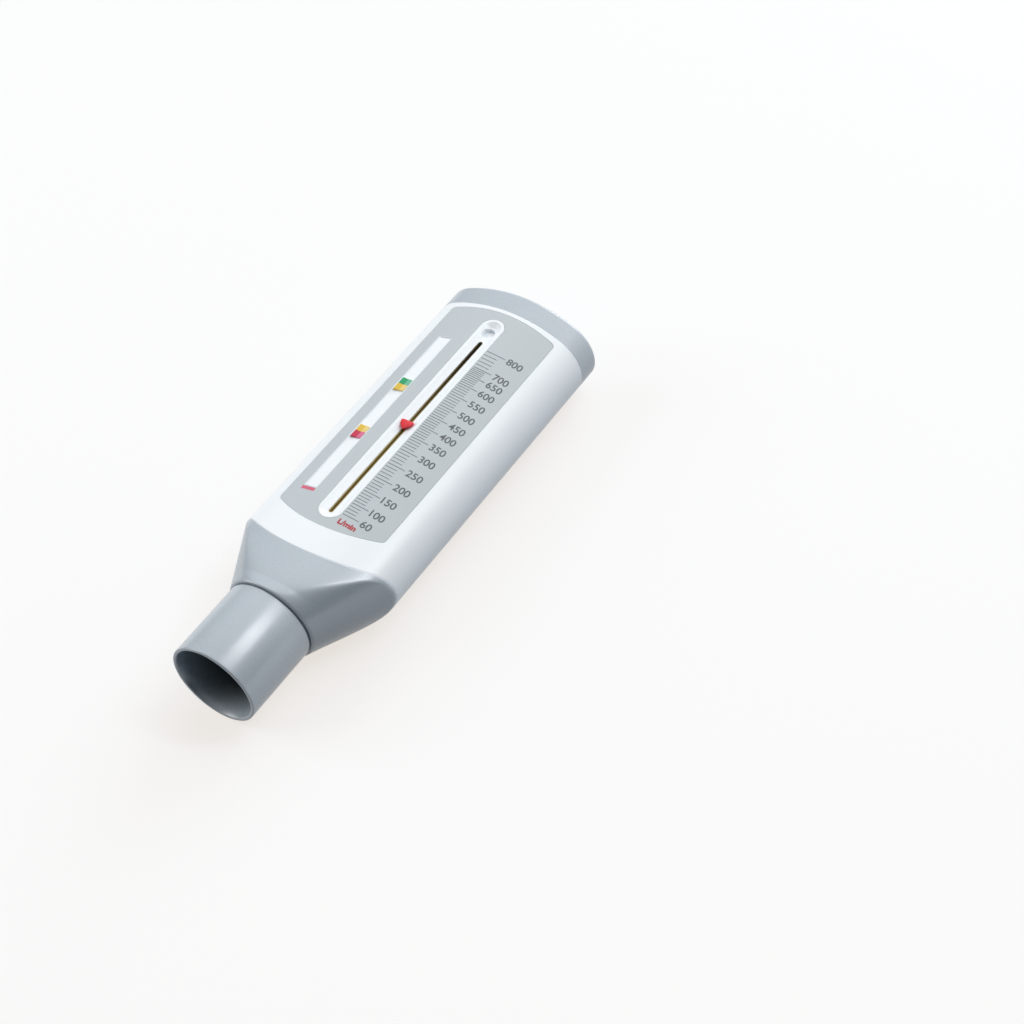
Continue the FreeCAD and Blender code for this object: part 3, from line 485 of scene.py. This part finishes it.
# Body sleeve and slot liner. One white moulding with a soft gloss: the oval wall, the raised surround of the
# slot with its dished channel and round pocket, and the recess for the scale plate. The liner is a strip of
# olive acetal, pushed into the slot from below, with painted shade that deepens its colour towards the cap.
OLIVE = (160, 142, 84)
PAINTED_SHADE_OLIVE = (66, 56, 34)
LINER_SHADE_STARTS = 105.0
LINER_SHADE_FULL = 140.0
white_moulding = moulded("white_moulding", (245, 250, 254), roughness=0.3, drift=0.012, grain=0.12, edge=0.3,
                         edge_tone=0.0)
finish_node("body_sleeve", white_moulding)
olive_acetal = moulded("olive_acetal", OLIVE, roughness=0.4, drift=0.12, edge=0.1)
liner_axis = place_in(olive_acetal)[1]
# Painted shade: the liner's colour deepens towards the cap, where the slot lies in shade.
tint(olive_acetal, [ramp(olive_acetal, liner_axis["X"], LINER_SHADE_STARTS, LINER_SHADE_FULL)], PAINTED_SHADE_OLIVE)
finish_node("slot_liner", olive_acetal)

# Scale plate. A thin plastic plate, stuck down and curved to the crown of the sleeve. It is printed matt grey
# up to a bare white margin round the markers' opening, and the flow scale is screen printed over that: fine
# dark lines along the slot, numbers beside them, the unit in red, and a red bar at the foot of the opening.
PLATE_GREY = (193, 201, 205)
BARE_WHITE = (240, 246, 252)
BARE_START = 69.8
BARE_END = 144.8
BARE_NEAR = 10.45
BARE_FAR = 15.8
INK_RISE = 0.02
FLOW_CUBIC = (64.0, 100.2, -13.5, -5.9)
FLOW_WAVE = (0.56, 16.34, 0.4)
FIRST_LINE_X = 64.4
PRINT_LEAN = 0.012
LINE_START = -3.6
LONG_LINE_END = -9.6
LONG_LINE_WIDTH = 0.24
SHORT_LINE_END = -7.6
SHORT_LINE_WIDTH = 0.21
CAPITAL_SHARE = 0.69
NUMBER_START = -10.45
NUMBER_HEIGHT = 2.6
UNIT_X = 61.65
UNIT_START = -4.1
UNIT_HEIGHT = 1.9
FOOT_BAR_X = 68.9
FOOT_BAR_END = 10.6
FOOT_BAR_WIDTH = 1.3
NUMBERED = (60, 100, 150, 200, 250, 300, 350, 400, 450, 500, 550, 600, 650, 700, 800)


def printed(name, shown):
    """Screen-printed ink: an even film with faint pinholes, where noise drops below a low threshold."""
    material = bpy.data.materials.new(name)
    material.use_nodes = True
    nodes, links = material.node_tree.nodes, material.node_tree.links
    surface = nodes["Principled BSDF"]
    place = nodes.new("ShaderNodeTexCoord").outputs["Object"]
    film = nodes.new("ShaderNodeTexNoise")
    film.inputs["Scale"].default_value = 4000
    links.new(place, film.inputs["Vector"])
    thin = nodes.new("ShaderNodeMapRange")
    thin.inputs["From Min"].default_value = 0.25
    thin.inputs["From Max"].default_value = 0.55
    links.new(film.outputs["Fac"], thin.inputs["Value"])
    colour = nodes.new("ShaderNodeMix")
    colour.data_type = "RGBA"
    colour.inputs["A"].default_value = (*(light_of(shown) * 0.7 + light_of(PLATE_GREY) * 0.3), 1)
    colour.inputs["B"].default_value = (*light_of(shown), 1)
    links.new(thin.outputs["Result"], colour.inputs["Factor"])
    links.new(colour.outputs["Result"], surface.inputs["Base Color"])
    gloss = nodes.new("ShaderNodeMapRange")
    gloss.inputs["To Min"].default_value = 0.5
    gloss.inputs["To Max"].default_value = 0.62
    links.new(film.outputs["Fac"], gloss.inputs["Value"])
    links.new(gloss.outputs["Result"], surface.inputs["Roughness"])
    return material


def flow_x(flow):
    """Place of a flow on the scale, with t the share of the way from the first number to the last.

    A cubic in t plus a slow wave, size cos(rate t + lead), because the pitch swings as ports are uncovered.
    """
    t = (np.asarray(flow, float) - NUMBERED[0]) / (NUMBERED[-1] - NUMBERED[0])
    size, rate, lead = FLOW_WAVE
    return np.polynomial.polynomial.polyval(t, FLOW_CUBIC) + size * np.cos(rate * t + lead)


def lean(x):
    """The print stands a little askew: away from the channel in proportion to x."""
    return PRINT_LEAN * (x - FIRST_LINE_X)


def on_face(x, y, lift):
    """Point on the crowned face: z = rise - R + sqrt(R^2 - y^2) + lift."""
    radius = crown_radius(FRONT_RISE)
    return np.stack([x, y, FRONT_RISE - radius + np.sqrt(radius ** 2 - y ** 2) + lift], axis=-1)


def printed_bars(name, places, starts, ends, widths, steps=10):
    """Each bar is flat and bent to the face: its four corners (x +- w/2, lift +- rise) carried along y."""
    places, starts, ends, widths = np.broadcast_arrays(np.asarray(places, float), starts, ends, widths)
    s = np.linspace(0, 1, steps)[None, :, None]
    y = starts[:, None, None] + (ends - starts)[:, None, None] * s
    wide = np.array([-0.5, 0.5, 0.5, -0.5])[None, None, :] * widths[:, None, None]
    lift = np.array([-INK_RISE, -INK_RISE, INK_RISE, INK_RISE])[None, None, :]
    x = places[:, None, None] + wide + 0 * y
    y = y + 0 * wide
    grid = on_face(x, y, lift + 0 * x)
    count = len(places)
    ring = np.arange(4)
    base = np.arange(count)[:, None, None] * steps * 4 + np.arange(steps - 1)[None, :, None] * 4
    on = (ring + 1) % 4
    sides = np.stack([base + ring, base + on, base + 4 + on, base + 4 + ring], axis=-1)
    first = np.arange(count)[:, None] * steps * 4 + ring[::-1]
    last = np.arange(count)[:, None] * steps * 4 + (steps - 1) * 4 + ring
    quads = np.concatenate([sides.reshape(-1, 4), first, last])
    mesh = bpy.data.meshes.new(name)
    mesh.from_pydata(row(grid.reshape(-1, 3)).tolist(), [], quads.tolist())
    piece = bpy.data.objects.new(name, mesh)
    bpy.context.scene.collection.objects.link(piece)
    return piece


def lettering(name, words, x, y, height, material, stretch=1.0, bold=0.0):
    """Flat type laid on the face: read along -Y with its top towards the cap, then bent to the crown.

    The type's size is the height of its capitals over their share of it. Bold moves the outline out.
    """
    type_curve = bpy.data.curves.new(name, "FONT")
    type_curve.body = words
    type_curve.size = height / CAPITAL_SHARE
    type_curve.extrude = INK_RISE
    type_curve.offset = bold
    type_curve.resolution_u = 6
    flat = bpy.data.objects.new(name + "_flat", type_curve)
    bpy.context.scene.collection.objects.link(flat)
    bpy.context.view_layer.update()
    mesh = bpy.data.meshes.new_from_object(flat)
    bpy.data.objects.remove(flat)
    points = np.empty(len(mesh.vertices) * 3)
    mesh.vertices.foreach_get("co", points)
    points = points.reshape(-1, 3)
    points[:, 0] -= points[:, 0].min()
    across = y - points[:, 0] * stretch
    along = x - height / 2 + points[:, 1]
    mesh.vertices.foreach_set("co", row(on_face(along, across, points[:, 2])).ravel())
    weld(mesh)
    mesh.name = name
    piece = bpy.data.objects.new(name, mesh)
    bpy.context.scene.collection.objects.link(piece)
    dress(piece, material)
    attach(piece, "case")


scale_print = moulded("scale_print", PLATE_GREY, roughness=0.55, drift=0.015, grain=0.35, grain_size=0.25,
                      edge=0.05, edge_tone=0.05)
plate_axis = place_in(scale_print)[1]
tint(scale_print, [ramp(scale_print, plate_axis["X"], BARE_START, BARE_START + 0.2),
                   ramp(scale_print, plate_axis["X"], BARE_END, BARE_END - 0.2),
                   ramp(scale_print, plate_axis["Y"], BARE_NEAR, BARE_NEAR + 0.25),
                   ramp(scale_print, plate_axis["Y"], BARE_FAR, BARE_FAR - 0.4)], BARE_WHITE)
finish_node("scale_plate", scale_print)
dark_ink = printed("dark_ink", (84, 88, 92))
red_ink = printed("red_ink", (178, 14, 26))
pink_ink = printed("pink_ink", (216, 92, 120))

# A line every 10 litres a minute up to 700 and every 20 above, the numbered ones longer and heavier.
fine_steps = np.concatenate([np.arange(60, 700, 10), np.arange(700, 801, 20)])
major = np.isin(fine_steps, NUMBERED)
line_x = flow_x(fine_steps)
line_end = np.where(major, LONG_LINE_END, SHORT_LINE_END) - lean(line_x)
line_width = np.where(major, LONG_LINE_WIDTH, SHORT_LINE_WIDTH)
scale_marks = printed_bars("scale_marks", line_x, LINE_START, line_end, line_width)
dress(scale_marks, dark_ink)
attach(scale_marks, "case")
for flow in NUMBERED:
    number_x = float(flow_x(flow))
    number_y = NUMBER_START - lean(number_x)
    lettering(f"scale_number_{flow}", str(flow), number_x, number_y, NUMBER_HEIGHT, dark_ink, bold=0.06)
lettering("scale_unit", "L/min", UNIT_X, UNIT_START, UNIT_HEIGHT, red_ink, stretch=1.05, bold=0.13)
zone_mark = printed_bars("zone_mark", [FOOT_BAR_X], BARE_FAR, FOOT_BAR_END, FOOT_BAR_WIDTH)
dress(zone_mark, pink_ink)
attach(zone_mark, "case")

# Zone markers and their track. Two small sliders of dyed plastic, each in two colours, whose feet snap into
# the undercut groove of the sleeve. A fingertip pushes them to the limits of the user's own zones. The track
# is a thin white strip that lines the groove.
MARKER_LINE = 13.0
TRACK_START = 70.1
TRACK_END = 144.5
TRACK_HALF = 2.24
TRACK_TOP = -0.15
TRACK_LIP = 0.07
TRACK_UNDER = -0.45
UPPER_MARKER_X = 119.85
LOWER_MARKER_X = 96.25
MARKER_HALF_LENGTH = 2.8
# Each pair holds the dye and the paler tone of the light painted on the button's sides.
GREEN_TONES = ((34, 160, 104), (112, 190, 158))
YELLOW_TONES = ((228, 192, 70), (238, 212, 134))
RED_TONES = ((206, 52, 84), (222, 118, 152))


def beside(x, across, lift):
    """Point on the markers' line: (across, R + lift) turned about the crown's centre by asin(line / R)."""
    radius = crown_radius(FRONT_RISE)
    turn = math.asin(MARKER_LINE / radius)
    y = across * math.cos(turn) + (radius + lift) * math.sin(turn)
    z = FRONT_RISE - radius + (radius + lift) * math.cos(turn) - across * math.sin(turn)
    return np.stack(np.broadcast_arrays(x, y, z), axis=-1)


def capped_bar(name, profile, stations):
    """Profile of (across, lift) carried through stations of (x, share), closed by its middle at both ends.

    A share below 1 draws the profile in towards its middle, which softens the bar's end.
    """
    middle = profile.mean(axis=0)
    x = np.array([stations[0][0]] + [station[0] for station in stations] + [stations[-1][0]])[:, None]
    share = np.array([0.0] + [station[1] for station in stations] + [0.0])[:, None, None]
    drawn = middle + (profile - middle)[None] * share
    return skin(name, beside(x, drawn[..., 0], drawn[..., 1]), False, True)


def marker_half(name, start, end, soft_at_start):
    """Button whose pushing ridge runs along the outer half of its top. Only its free end is softened.

    The profile goes from the inner foot over the flat half of the top and the ridge to the outer foot.
    """
    profile = eased(
        [(-2.15, -0.1), (-2.15, 0.2), (0.0, 0.2), (1.35, 0.7), (2.0, 0.2), (2.15, 0.1), (2.15, -0.1)],
        [0.02, 0.12, 0.3, 0.25, 0.04, 0.03, 0.02])
    if soft_at_start:
        stations = [(start, 0.93), (start + 0.08, 0.98), (start + 0.2, 1.0), (end - 0.02, 1.0), (end, 1.0)]
    else:
        stations = [(start, 1.0), (start + 0.02, 1.0), (end - 0.2, 1.0), (end - 0.08, 0.98), (end, 0.93)]
    return capped_bar(name, profile, stations)


def two_tone(material, paler):
    """Painted light: the colour turns paler on the button's side towards the scale and along its far edge."""
    axis = place_in(material)[1]
    tint(material, [ramp(material, axis["Y"], MARKER_LINE - 0.3, MARKER_LINE - 0.8)], paler)
    tint(material, [ramp(material, axis["Y"], MARKER_LINE + 1.6, MARKER_LINE + 2.0)], paler)


across = np.linspace(-TRACK_HALF, TRACK_HALF, 25)
track_top = np.stack([across, TRACK_TOP + TRACK_LIP * np.abs(across / TRACK_HALF) ** 4], axis=-1)
track_profile = np.concatenate([track_top, [(TRACK_HALF, TRACK_UNDER), (-TRACK_HALF, TRACK_UNDER)]])
marker_track = capped_bar("marker_track", track_profile, [
    (TRACK_START, 1.0), (TRACK_START + 0.05, 1.0), (TRACK_END - 0.05, 1.0), (TRACK_END, 1.0)])
dress(marker_track, white_moulding)
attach(marker_track, "case")

for body, colour_name, tones, start, soft_at_start in (
        ("upper_marker", "green", GREEN_TONES, UPPER_MARKER_X, False),
        ("upper_marker", "yellow", YELLOW_TONES, UPPER_MARKER_X - MARKER_HALF_LENGTH, True),
        ("lower_marker", "yellow", YELLOW_TONES, LOWER_MARKER_X, False),
        ("lower_marker", "red", RED_TONES, LOWER_MARKER_X - MARKER_HALF_LENGTH, True)):
    node = body + "_" + colour_name
    dye_and_painted_light = moulded(node + "_dye", tones[0], roughness=0.35, edge=0.15)
    # Painted light: the second, paler tone of each button on its sides.
    two_tone(dye_and_painted_light, tones[1])
    button = marker_half(node + "_button", start, start + MARKER_HALF_LENGTH, soft_at_start)
    dress(button, dye_and_painted_light)
    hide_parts(node)
    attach(button, body)

# Pointer. A glossy red moulding: a plump arrowhead that points to the mouth, on a neck that passes the slot.
# A shoe holds it from below, and a bowed leaf of spring steel keeps it where the piston leaves it.
SLOT_CENTRE = 0.9
POINTER_BASE = 106.45
HEAD_LENGTH = 4.0
HEAD_WIDTH = 5.4
HEAD_LOW = 14.46
HEAD_HIGH = 15.14
NECK_LENGTH = 3.0
NECK_WIDTH = 0.56
SHOE_BOTTOM = 10.3


def pointer_head():
    """Plump arrowhead: a soft heart-shaped outline drawn in towards its middle over a dome.

    At the share s of the outline the dome stands at high - (high - rim) s^3, where rim is where the
    upright side ends.
    """
    half = HEAD_WIDTH / 2
    tip = POINTER_BASE - HEAD_LENGTH
    flank = POINTER_BASE - 0.5 * HEAD_LENGTH
    plan = eased(
        [(POINTER_BASE, -half), (POINTER_BASE - 0.05, 0.0), (POINTER_BASE, half), (flank, 0.7 * half),
         (tip, 0.0), (flank, -0.7 * half)],
        [1.15, 0.6, 1.15, 0.9, 0.6, 0.9], 9)
    middle = np.array([POINTER_BASE - 0.4 * HEAD_LENGTH, 0.0])
    share = np.array([0.0, 0.5, 0.97, 1.0, 1.0, 0.97, 0.9, 0.78, 0.62, 0.44, 0.25, 0.1, 0.0])
    rim = HEAD_LOW + 0.42
    dome = HEAD_HIGH - (HEAD_HIGH - rim) * share ** 3
    height = np.where(np.arange(len(share)) < 3, HEAD_LOW, dome)
    height[3] = HEAD_LOW + 0.04
    flat = middle + (plan - middle)[:, None, :] * share[None, :, None]
    grid = np.stack(np.broadcast_arrays(flat[..., 0], SLOT_CENTRE + flat[..., 1], height[None, :]), axis=-1)
    return skin("pointer_head", grid, True, False)


def pointer_neck():
    """Flat bar that stands in the slot, with softened ends."""
    plan = eased([(POINTER_BASE - NECK_LENGTH, -NECK_WIDTH / 2), (POINTER_BASE, -NECK_WIDTH / 2),
                  (POINTER_BASE, NECK_WIDTH / 2), (POINTER_BASE - NECK_LENGTH, NECK_WIDTH / 2)], [0.1] * 4)
    middle = plan.mean(axis=0)
    share = np.array([0.0, 1.0, 1.0, 1.0, 1.0, 0.0])
    edge = 0.03
    top = HEAD_LOW + 0.1 + edge
    height = np.array([SHOE_BOTTOM, SHOE_BOTTOM, SHOE_BOTTOM + edge, HEAD_LOW + 0.1, top, top])
    flat = middle + (plan - middle)[:, None, :] * share[None, :, None]
    grid = np.stack(np.broadcast_arrays(flat[..., 0], SLOT_CENTRE + flat[..., 1], height[None, :]), axis=-1)
    return skin("pointer_neck", grid, True, False)


red_pointer = moulded("red_pointer", (226, 48, 60), roughness=0.28, edge=0.15)
for piece in (pointer_head(), pointer_neck()):
    dress(piece, red_pointer)
    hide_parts("pointer")
    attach(piece, "pointer_body")
finish_node("pointer_shoe", red_pointer)
finish_node("pointer_leaf", steel)

# End cap. The same grey plastic as the adapter, moulded with rounded edges and a row of upright slits that
# let the breath out. Its plug is pushed into the sleeve.
finish_node("end_cap", grey_moulding)

# Setting. A pale floor, whose white shows only to the camera and in reflections. Broad soft lamps beyond the
# cap, on the markers' side and on the scale's side, a narrow one for the gleam along the mouthpiece, and soft
# light from the room. The camera stands on the mouthpiece's side. All places here are in metres.
FLOOR_TONE = (0.20, 0.25, 0.30, 1)
FLOOR_WHITE = (0.76, 0.71, 0.66, 1)
DAYLIGHT = (0.97, 0.985, 1.0, 1)
floor_mesh = bpy.data.meshes.new("floor")
floor_mesh.from_pydata([(-3, -3, 0), (3, -3, 0), (3, 3, 0), (-3, 3, 0)], [], [(0, 1, 2, 3)])
floor = bpy.data.objects.new("floor", floor_mesh)
bpy.context.scene.collection.objects.link(floor)
pale = bpy.data.materials.new("floor_white")
pale.use_nodes = True
pale_nodes, pale_links = pale.node_tree.nodes, pale.node_tree.links
pale_surface = pale_nodes["Principled BSDF"]
pale_surface.inputs["Base Color"].default_value = FLOOR_TONE
pale_surface.inputs["Roughness"].default_value = 0.9
pale_surface.inputs["Specular IOR Level"].default_value = 0.1
seen = pale_nodes.new("ShaderNodeLightPath")
glow = pale_nodes.new("ShaderNodeEmission")
glow.inputs["Color"].default_value = FLOOR_WHITE
glow.inputs["Strength"].default_value = 1.0
none = pale_nodes.new("ShaderNodeEmission")
none.inputs["Strength"].default_value = 0
only_seen = pale_nodes.new("ShaderNodeMixShader")
looked_at = seen.outputs["Is Camera Ray"]
for ray in ("Is Glossy Ray", "Is Transmission Ray"):
    either = pale_nodes.new("ShaderNodeMath")
    either.operation = "MAXIMUM"
    pale_links.new(looked_at, either.inputs[0])
    pale_links.new(seen.outputs[ray], either.inputs[1])
    looked_at = either.outputs["Value"]
pale_links.new(looked_at, only_seen.inputs["Fac"])
pale_links.new(none.outputs["Emission"], only_seen.inputs[1])
pale_links.new(glow.outputs["Emission"], only_seen.inputs[2])
both = pale_nodes.new("ShaderNodeAddShader")
pale_links.new(pale_surface.outputs["BSDF"], both.inputs[0])
pale_links.new(only_seen.outputs["Shader"], both.inputs[1])
pale_links.new(both.outputs["Shader"], pale_nodes["Material Output"].inputs["Surface"])
floor_mesh.materials.append(pale)


def lamp(name, where, along, across, power):
    """Soft rectangle that faces the middle of the meter, one side as near to the flow axis as it can be."""
    data = bpy.data.lights.new(name, "AREA")
    data.shape = "RECTANGLE"
    data.size, data.size_y = along, across
    data.energy = power
    source = bpy.data.objects.new(name, data)
    bpy.context.scene.collection.objects.link(source)
    away = np.array(where) / np.linalg.norm(where)
    side = np.array([1.0, 0.0, 0.0]) - away[0] * away
    side /= np.linalg.norm(side)
    turn = np.eye(4)
    turn[:3, 0], turn[:3, 1], turn[:3, 2], turn[:3, 3] = side, np.cross(away, side), away, where
    source.matrix_world = mathutils.Matrix(turn.tolist())


def room_light(away, strength, rest):
    """Soft room light, strength (d.u)^2 + rest from the direction d, where u points to its brightest part."""
    world = bpy.data.worlds.new("room")
    world.use_nodes = True
    nodes, links = world.node_tree.nodes, world.node_tree.links
    toward = nodes.new("ShaderNodeTexCoord")
    match = nodes.new("ShaderNodeVectorMath")
    match.operation = "DOT_PRODUCT"
    match.inputs[1].default_value = np.array(away) / np.linalg.norm(away)
    links.new(toward.outputs["Generated"], match.inputs[0])
    facing = nodes.new("ShaderNodeMath")
    facing.operation = "MAXIMUM"
    facing.inputs[1].default_value = 0
    links.new(match.outputs["Value"], facing.inputs[0])
    lobe = nodes.new("ShaderNodeMath")
    lobe.operation = "POWER"
    lobe.inputs[1].default_value = 2
    links.new(facing.outputs["Value"], lobe.inputs[0])
    level = nodes.new("ShaderNodeMath")
    level.operation = "MULTIPLY_ADD"
    level.inputs[1].default_value = strength
    level.inputs[2].default_value = rest
    links.new(lobe.outputs["Value"], level.inputs[0])
    nodes["Background"].inputs["Color"].default_value = DAYLIGHT
    links.new(level.outputs["Value"], nodes["Background"].inputs["Strength"])
    bpy.context.scene.world = world


lamp("cap_lamp", (1.3, 0.0, 0.6), 0.8, 0.8, 7.5)
lamp("side_lamp", (-0.5, 1.1, 0.7), 0.9, 0.9, 9)
lamp("gleam_lamp", (0.46, -0.51, 1.08), 0.15, 0.65, 4.1)
lamp("near_lamp", (1.15, -0.85, 0.35), 0.9, 0.9, 2.4)
room_light((0.75, 0.0, 0.7), 1.22, 0.0)

camera_data = bpy.data.cameras.new("camera")
camera_data.lens = 78.36
camera_data.sensor_width = 36
camera = bpy.data.objects.new("camera", camera_data)
bpy.context.scene.collection.objects.link(camera)
right = np.array([0.54543, -0.83305, -0.09237])
down = np.array([-0.65791, -0.35725, -0.66296])
ahead = np.array([0.51928, 0.42237, -0.74293])
turn = np.eye(4)
turn[:3, 0], turn[:3, 1], turn[:3, 2] = right, -down, -ahead
turn[:3, 3] = (-0.34657, -0.33415, 0.53168)
camera.matrix_world = mathutils.Matrix(turn.tolist())
bpy.context.scene.camera = camera
bpy.context.scene.view_settings.view_transform = "Standard"
